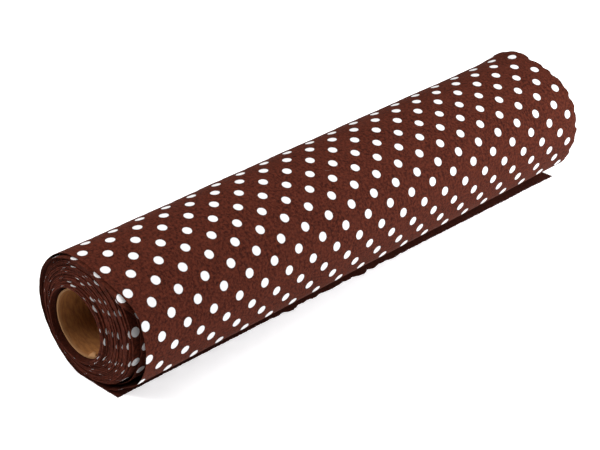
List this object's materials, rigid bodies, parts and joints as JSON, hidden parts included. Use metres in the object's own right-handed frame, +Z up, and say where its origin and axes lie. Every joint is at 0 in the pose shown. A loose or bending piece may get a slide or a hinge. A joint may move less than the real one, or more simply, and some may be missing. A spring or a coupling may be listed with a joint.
{
  "type": "wrapping paper roll",
  "caption": "Sheet of dotted wrapping paper wound on an open cardboard core, its last turns lying slack and folded under the roll so that the free edge shows along one side.",
  "frame": {"origin": "centre of the whole roll's footprint, on the surface it lies on", "axes": "X along the roll, +Z up, -Y towards the slack side with the free edge"},
  "size_m": [0.49, 0.112, 0.1027],
  "materials": {
    "paper": "matte",
    "kraft": "matte"
  },
  "bodies": {
    "outer_wrap": {"outer_turn": "paper", "loose_turn": "paper"},
    "coil": {"tight_coil": "paper"},
    "core": {"core_inner_ply": "kraft", "core_outer_ply": "kraft"},
    "edge_strip": {"free_edge": "paper"}
  },
  "joints": [
    {"name": "coil_turn", "type": "hinge", "parent": "outer_wrap", "child": "coil", "pos_m": [0, 0.0039, 0.0506], "axis": [1, 0, 0], "range_deg": [0, 20]},
    {"name": "core_pull_out", "type": "slide", "parent": "coil", "child": "core", "axis": [-1, 0, 0], "range_m": [0, 0.52]},
    {"name": "edge_lift", "type": "hinge", "parent": "outer_wrap", "child": "edge_strip", "pos_m": [0, -0.0251, 0.00015], "axis": [-1, 0, 0], "range_deg": [0, 25]}
  ]
}
